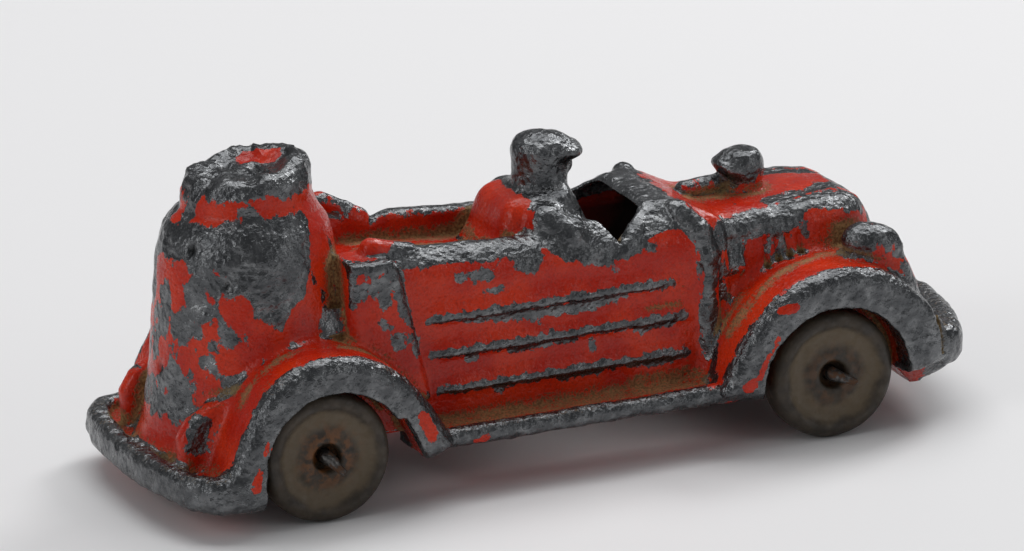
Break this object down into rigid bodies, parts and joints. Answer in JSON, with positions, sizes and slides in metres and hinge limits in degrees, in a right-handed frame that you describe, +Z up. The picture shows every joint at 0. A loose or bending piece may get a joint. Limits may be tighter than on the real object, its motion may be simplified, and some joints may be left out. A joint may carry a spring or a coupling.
{
  "type": "toy fire engine",
  "caption": "Old-fashioned hollow-cast toy fire engine: red body with boiler, hose bed, driver, bell and fenders in one piece, rolling on rubber wheels with wire axles.",
  "frame": {"origin": "on the ground plane under the middle of the toy's length and width", "axes": "+X towards the front of the fire engine, +Y to its left side, +Z up"},
  "size_m": [0.087, 0.0322, 0.0332],
  "materials": {
    "red_enamel_on_lead": "glossy red enamel, chipped through to dark lead alloy on every edge, with dirt in the corners",
    "steel_wire": "tarnished steel wire with light rust",
    "rubber": "hardened dark rubber, dusty and dull"
  },
  "bodies": {
    "body": {"body_casting": "red_enamel_on_lead"},
    "front_axle": {"front_axle": "steel_wire"},
    "rear_axle": {"rear_axle": "steel_wire"},
    "wheel_front_left": {"wheel_front_left": "rubber"},
    "wheel_front_right": {"wheel_front_right": "rubber"},
    "wheel_rear_left": {"wheel_rear_left": "rubber"},
    "wheel_rear_right": {"wheel_rear_right": "rubber"}
  },
  "joints": [
    {"name": "front_axle_turn", "type": "hinge", "parent": "body", "child": "front_axle", "pos_m": [0.0257, 0, 0.00657], "axis": [0, 1, 0], "continuous": true},
    {"name": "wheel_front_left_spin", "type": "hinge", "parent": "front_axle", "child": "wheel_front_left", "pos_m": [0.0257, 0.013, 0.00657], "axis": [0, 1, 0], "continuous": true},
    {"name": "wheel_front_right_spin", "type": "hinge", "parent": "front_axle", "child": "wheel_front_right", "pos_m": [0.0257, -0.013, 0.00657], "axis": [0, 1, 0], "continuous": true},
    {"name": "rear_axle_turn", "type": "hinge", "parent": "body", "child": "rear_axle", "pos_m": [-0.0279, 0, 0.00657], "axis": [0, 1, 0], "continuous": true},
    {"name": "wheel_rear_left_spin", "type": "hinge", "parent": "rear_axle", "child": "wheel_rear_left", "pos_m": [-0.0279, 0.013, 0.00657], "axis": [0, 1, 0], "continuous": true},
    {"name": "wheel_rear_right_spin", "type": "hinge", "parent": "rear_axle", "child": "wheel_rear_right", "pos_m": [-0.0279, -0.013, 0.00657], "axis": [0, 1, 0], "continuous": true}
  ]
}
